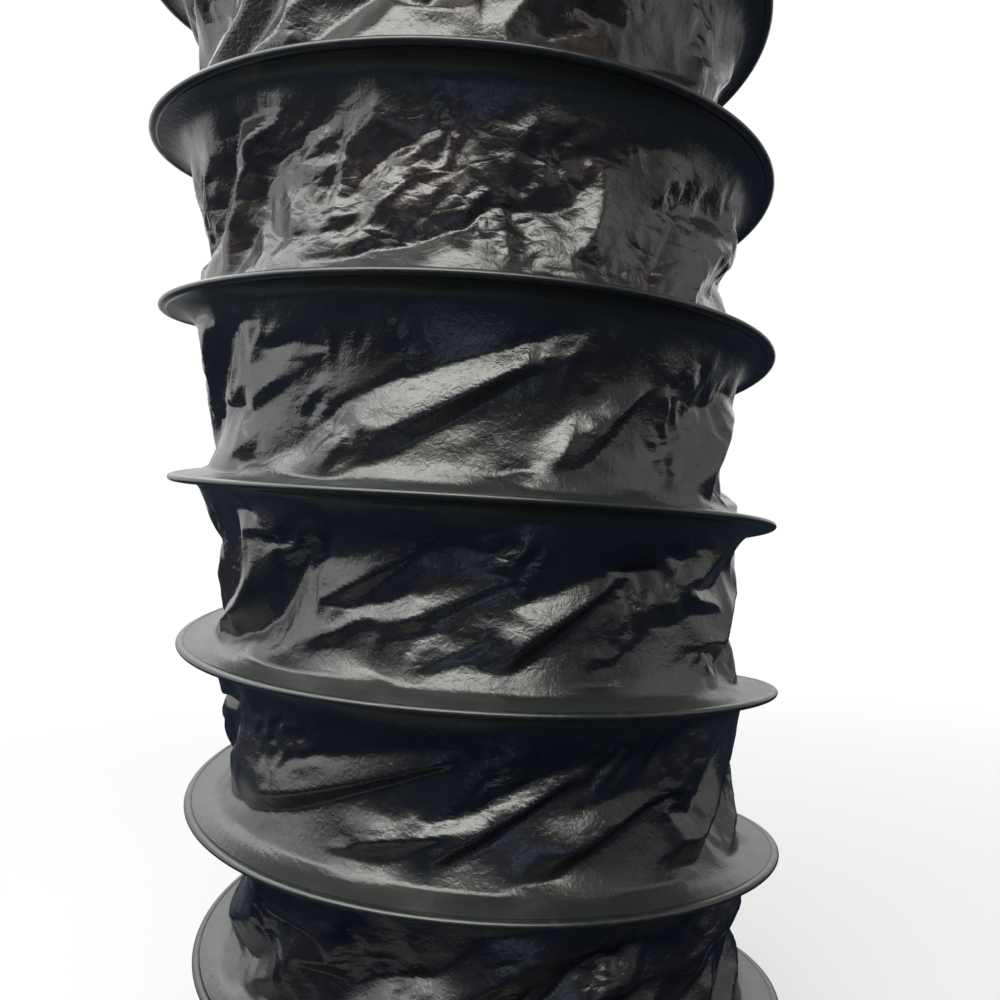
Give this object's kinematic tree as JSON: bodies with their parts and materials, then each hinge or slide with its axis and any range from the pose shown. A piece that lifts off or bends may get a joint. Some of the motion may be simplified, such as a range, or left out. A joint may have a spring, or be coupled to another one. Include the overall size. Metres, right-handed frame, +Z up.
{
  "type": "agility tunnel",
  "caption": "Short upright dog agility tunnel: a spring-wire coil in a glossy black skin that is drawn in between the ribs and folds flat like a concertina.",
  "frame": {"origin": "centre of the lower mouth, on the flat end the tunnel stands on", "axes": "+Z up along the tunnel, -Y towards the viewer of the picture, the coil leaves and meets its cuffs at +Y"},
  "size_m": [0.6116, 0.6116, 1.1447],
  "materials": {
    "skin": "soft coated film, semi-gloss, crumpled",
    "strip": "semi-gloss welded strip",
    "cuff": "coated hem, satin",
    "wire": "drawn spring wire",
    "ferrule": "crimped band"
  },
  "bodies": {
    "bottom_end": {"bottom_cuff": "cuff", "bottom_ferrule": "ferrule", "helix_wire": "wire", "skin_turn_0": "skin", "skin_turn_1": "skin", "wear_strip_1": "strip"},
    "turn_2": {"skin_turn_2": "skin", "wear_strip_2": "strip"},
    "turn_3": {"skin_turn_3": "skin", "wear_strip_3": "strip"},
    "turn_4": {"skin_turn_4": "skin", "wear_strip_4": "strip"},
    "turn_5": {"skin_turn_5": "skin", "wear_strip_5": "strip"},
    "turn_6": {"skin_turn_6": "skin", "wear_strip_6": "strip"},
    "turn_7": {"skin_turn_7": "skin", "wear_strip_7": "strip"},
    "top_end": {"top_cuff": "cuff", "top_ferrule": "ferrule"}
  },
  "joints": [
    {"name": "collapse", "type": "slide", "parent": "bottom_end", "child": "turn_2", "axis": [0, 0, 1], "range_m": [-0.134, 0], "stiffness_N_per_m": 120, "springref_m": 0.3, "deforming": ["helix_wire", "skin_turn_0", "skin_turn_1", "wear_strip_1", "skin_turn_2", "wear_strip_2"]},
    {"name": "collapse_3", "type": "slide", "parent": "turn_2", "child": "turn_3", "axis": [0, 0, 1], "range_m": [-0.134, 0], "stiffness_N_per_m": 120, "springref_m": 0.3, "deforming": ["skin_turn_3", "wear_strip_3"]},
    {"name": "collapse_4", "type": "slide", "parent": "turn_3", "child": "turn_4", "axis": [0, 0, 1], "range_m": [-0.134, 0], "stiffness_N_per_m": 120, "springref_m": 0.3, "deforming": ["skin_turn_4", "wear_strip_4"]},
    {"name": "collapse_5", "type": "slide", "parent": "turn_4", "child": "turn_5", "axis": [0, 0, 1], "range_m": [-0.134, 0], "stiffness_N_per_m": 120, "springref_m": 0.3, "deforming": ["skin_turn_5", "wear_strip_5"]},
    {"name": "collapse_6", "type": "slide", "parent": "turn_5", "child": "turn_6", "axis": [0, 0, 1], "range_m": [-0.134, 0], "stiffness_N_per_m": 120, "springref_m": 0.3, "deforming": ["skin_turn_6", "wear_strip_6"]},
    {"name": "collapse_7", "type": "slide", "parent": "turn_6", "child": "turn_7", "axis": [0, 0, 1], "range_m": [-0.134, 0], "stiffness_N_per_m": 120, "springref_m": 0.3, "deforming": ["skin_turn_7", "wear_strip_7"]},
    {"name": "collapse_top", "type": "slide", "parent": "turn_7", "child": "top_end", "axis": [0, 0, 1], "range_m": [-0.134, 0], "stiffness_N_per_m": 120, "springref_m": 0.3}
  ],
  "couplings": [
    {"joint": "collapse_3", "follows": "collapse", "ratio": 1},
    {"joint": "collapse_4", "follows": "collapse", "ratio": 1},
    {"joint": "collapse_5", "follows": "collapse", "ratio": 1},
    {"joint": "collapse_6", "follows": "collapse", "ratio": 1},
    {"joint": "collapse_7", "follows": "collapse", "ratio": 1},
    {"joint": "collapse_top", "follows": "collapse", "ratio": 1}
  ]
}
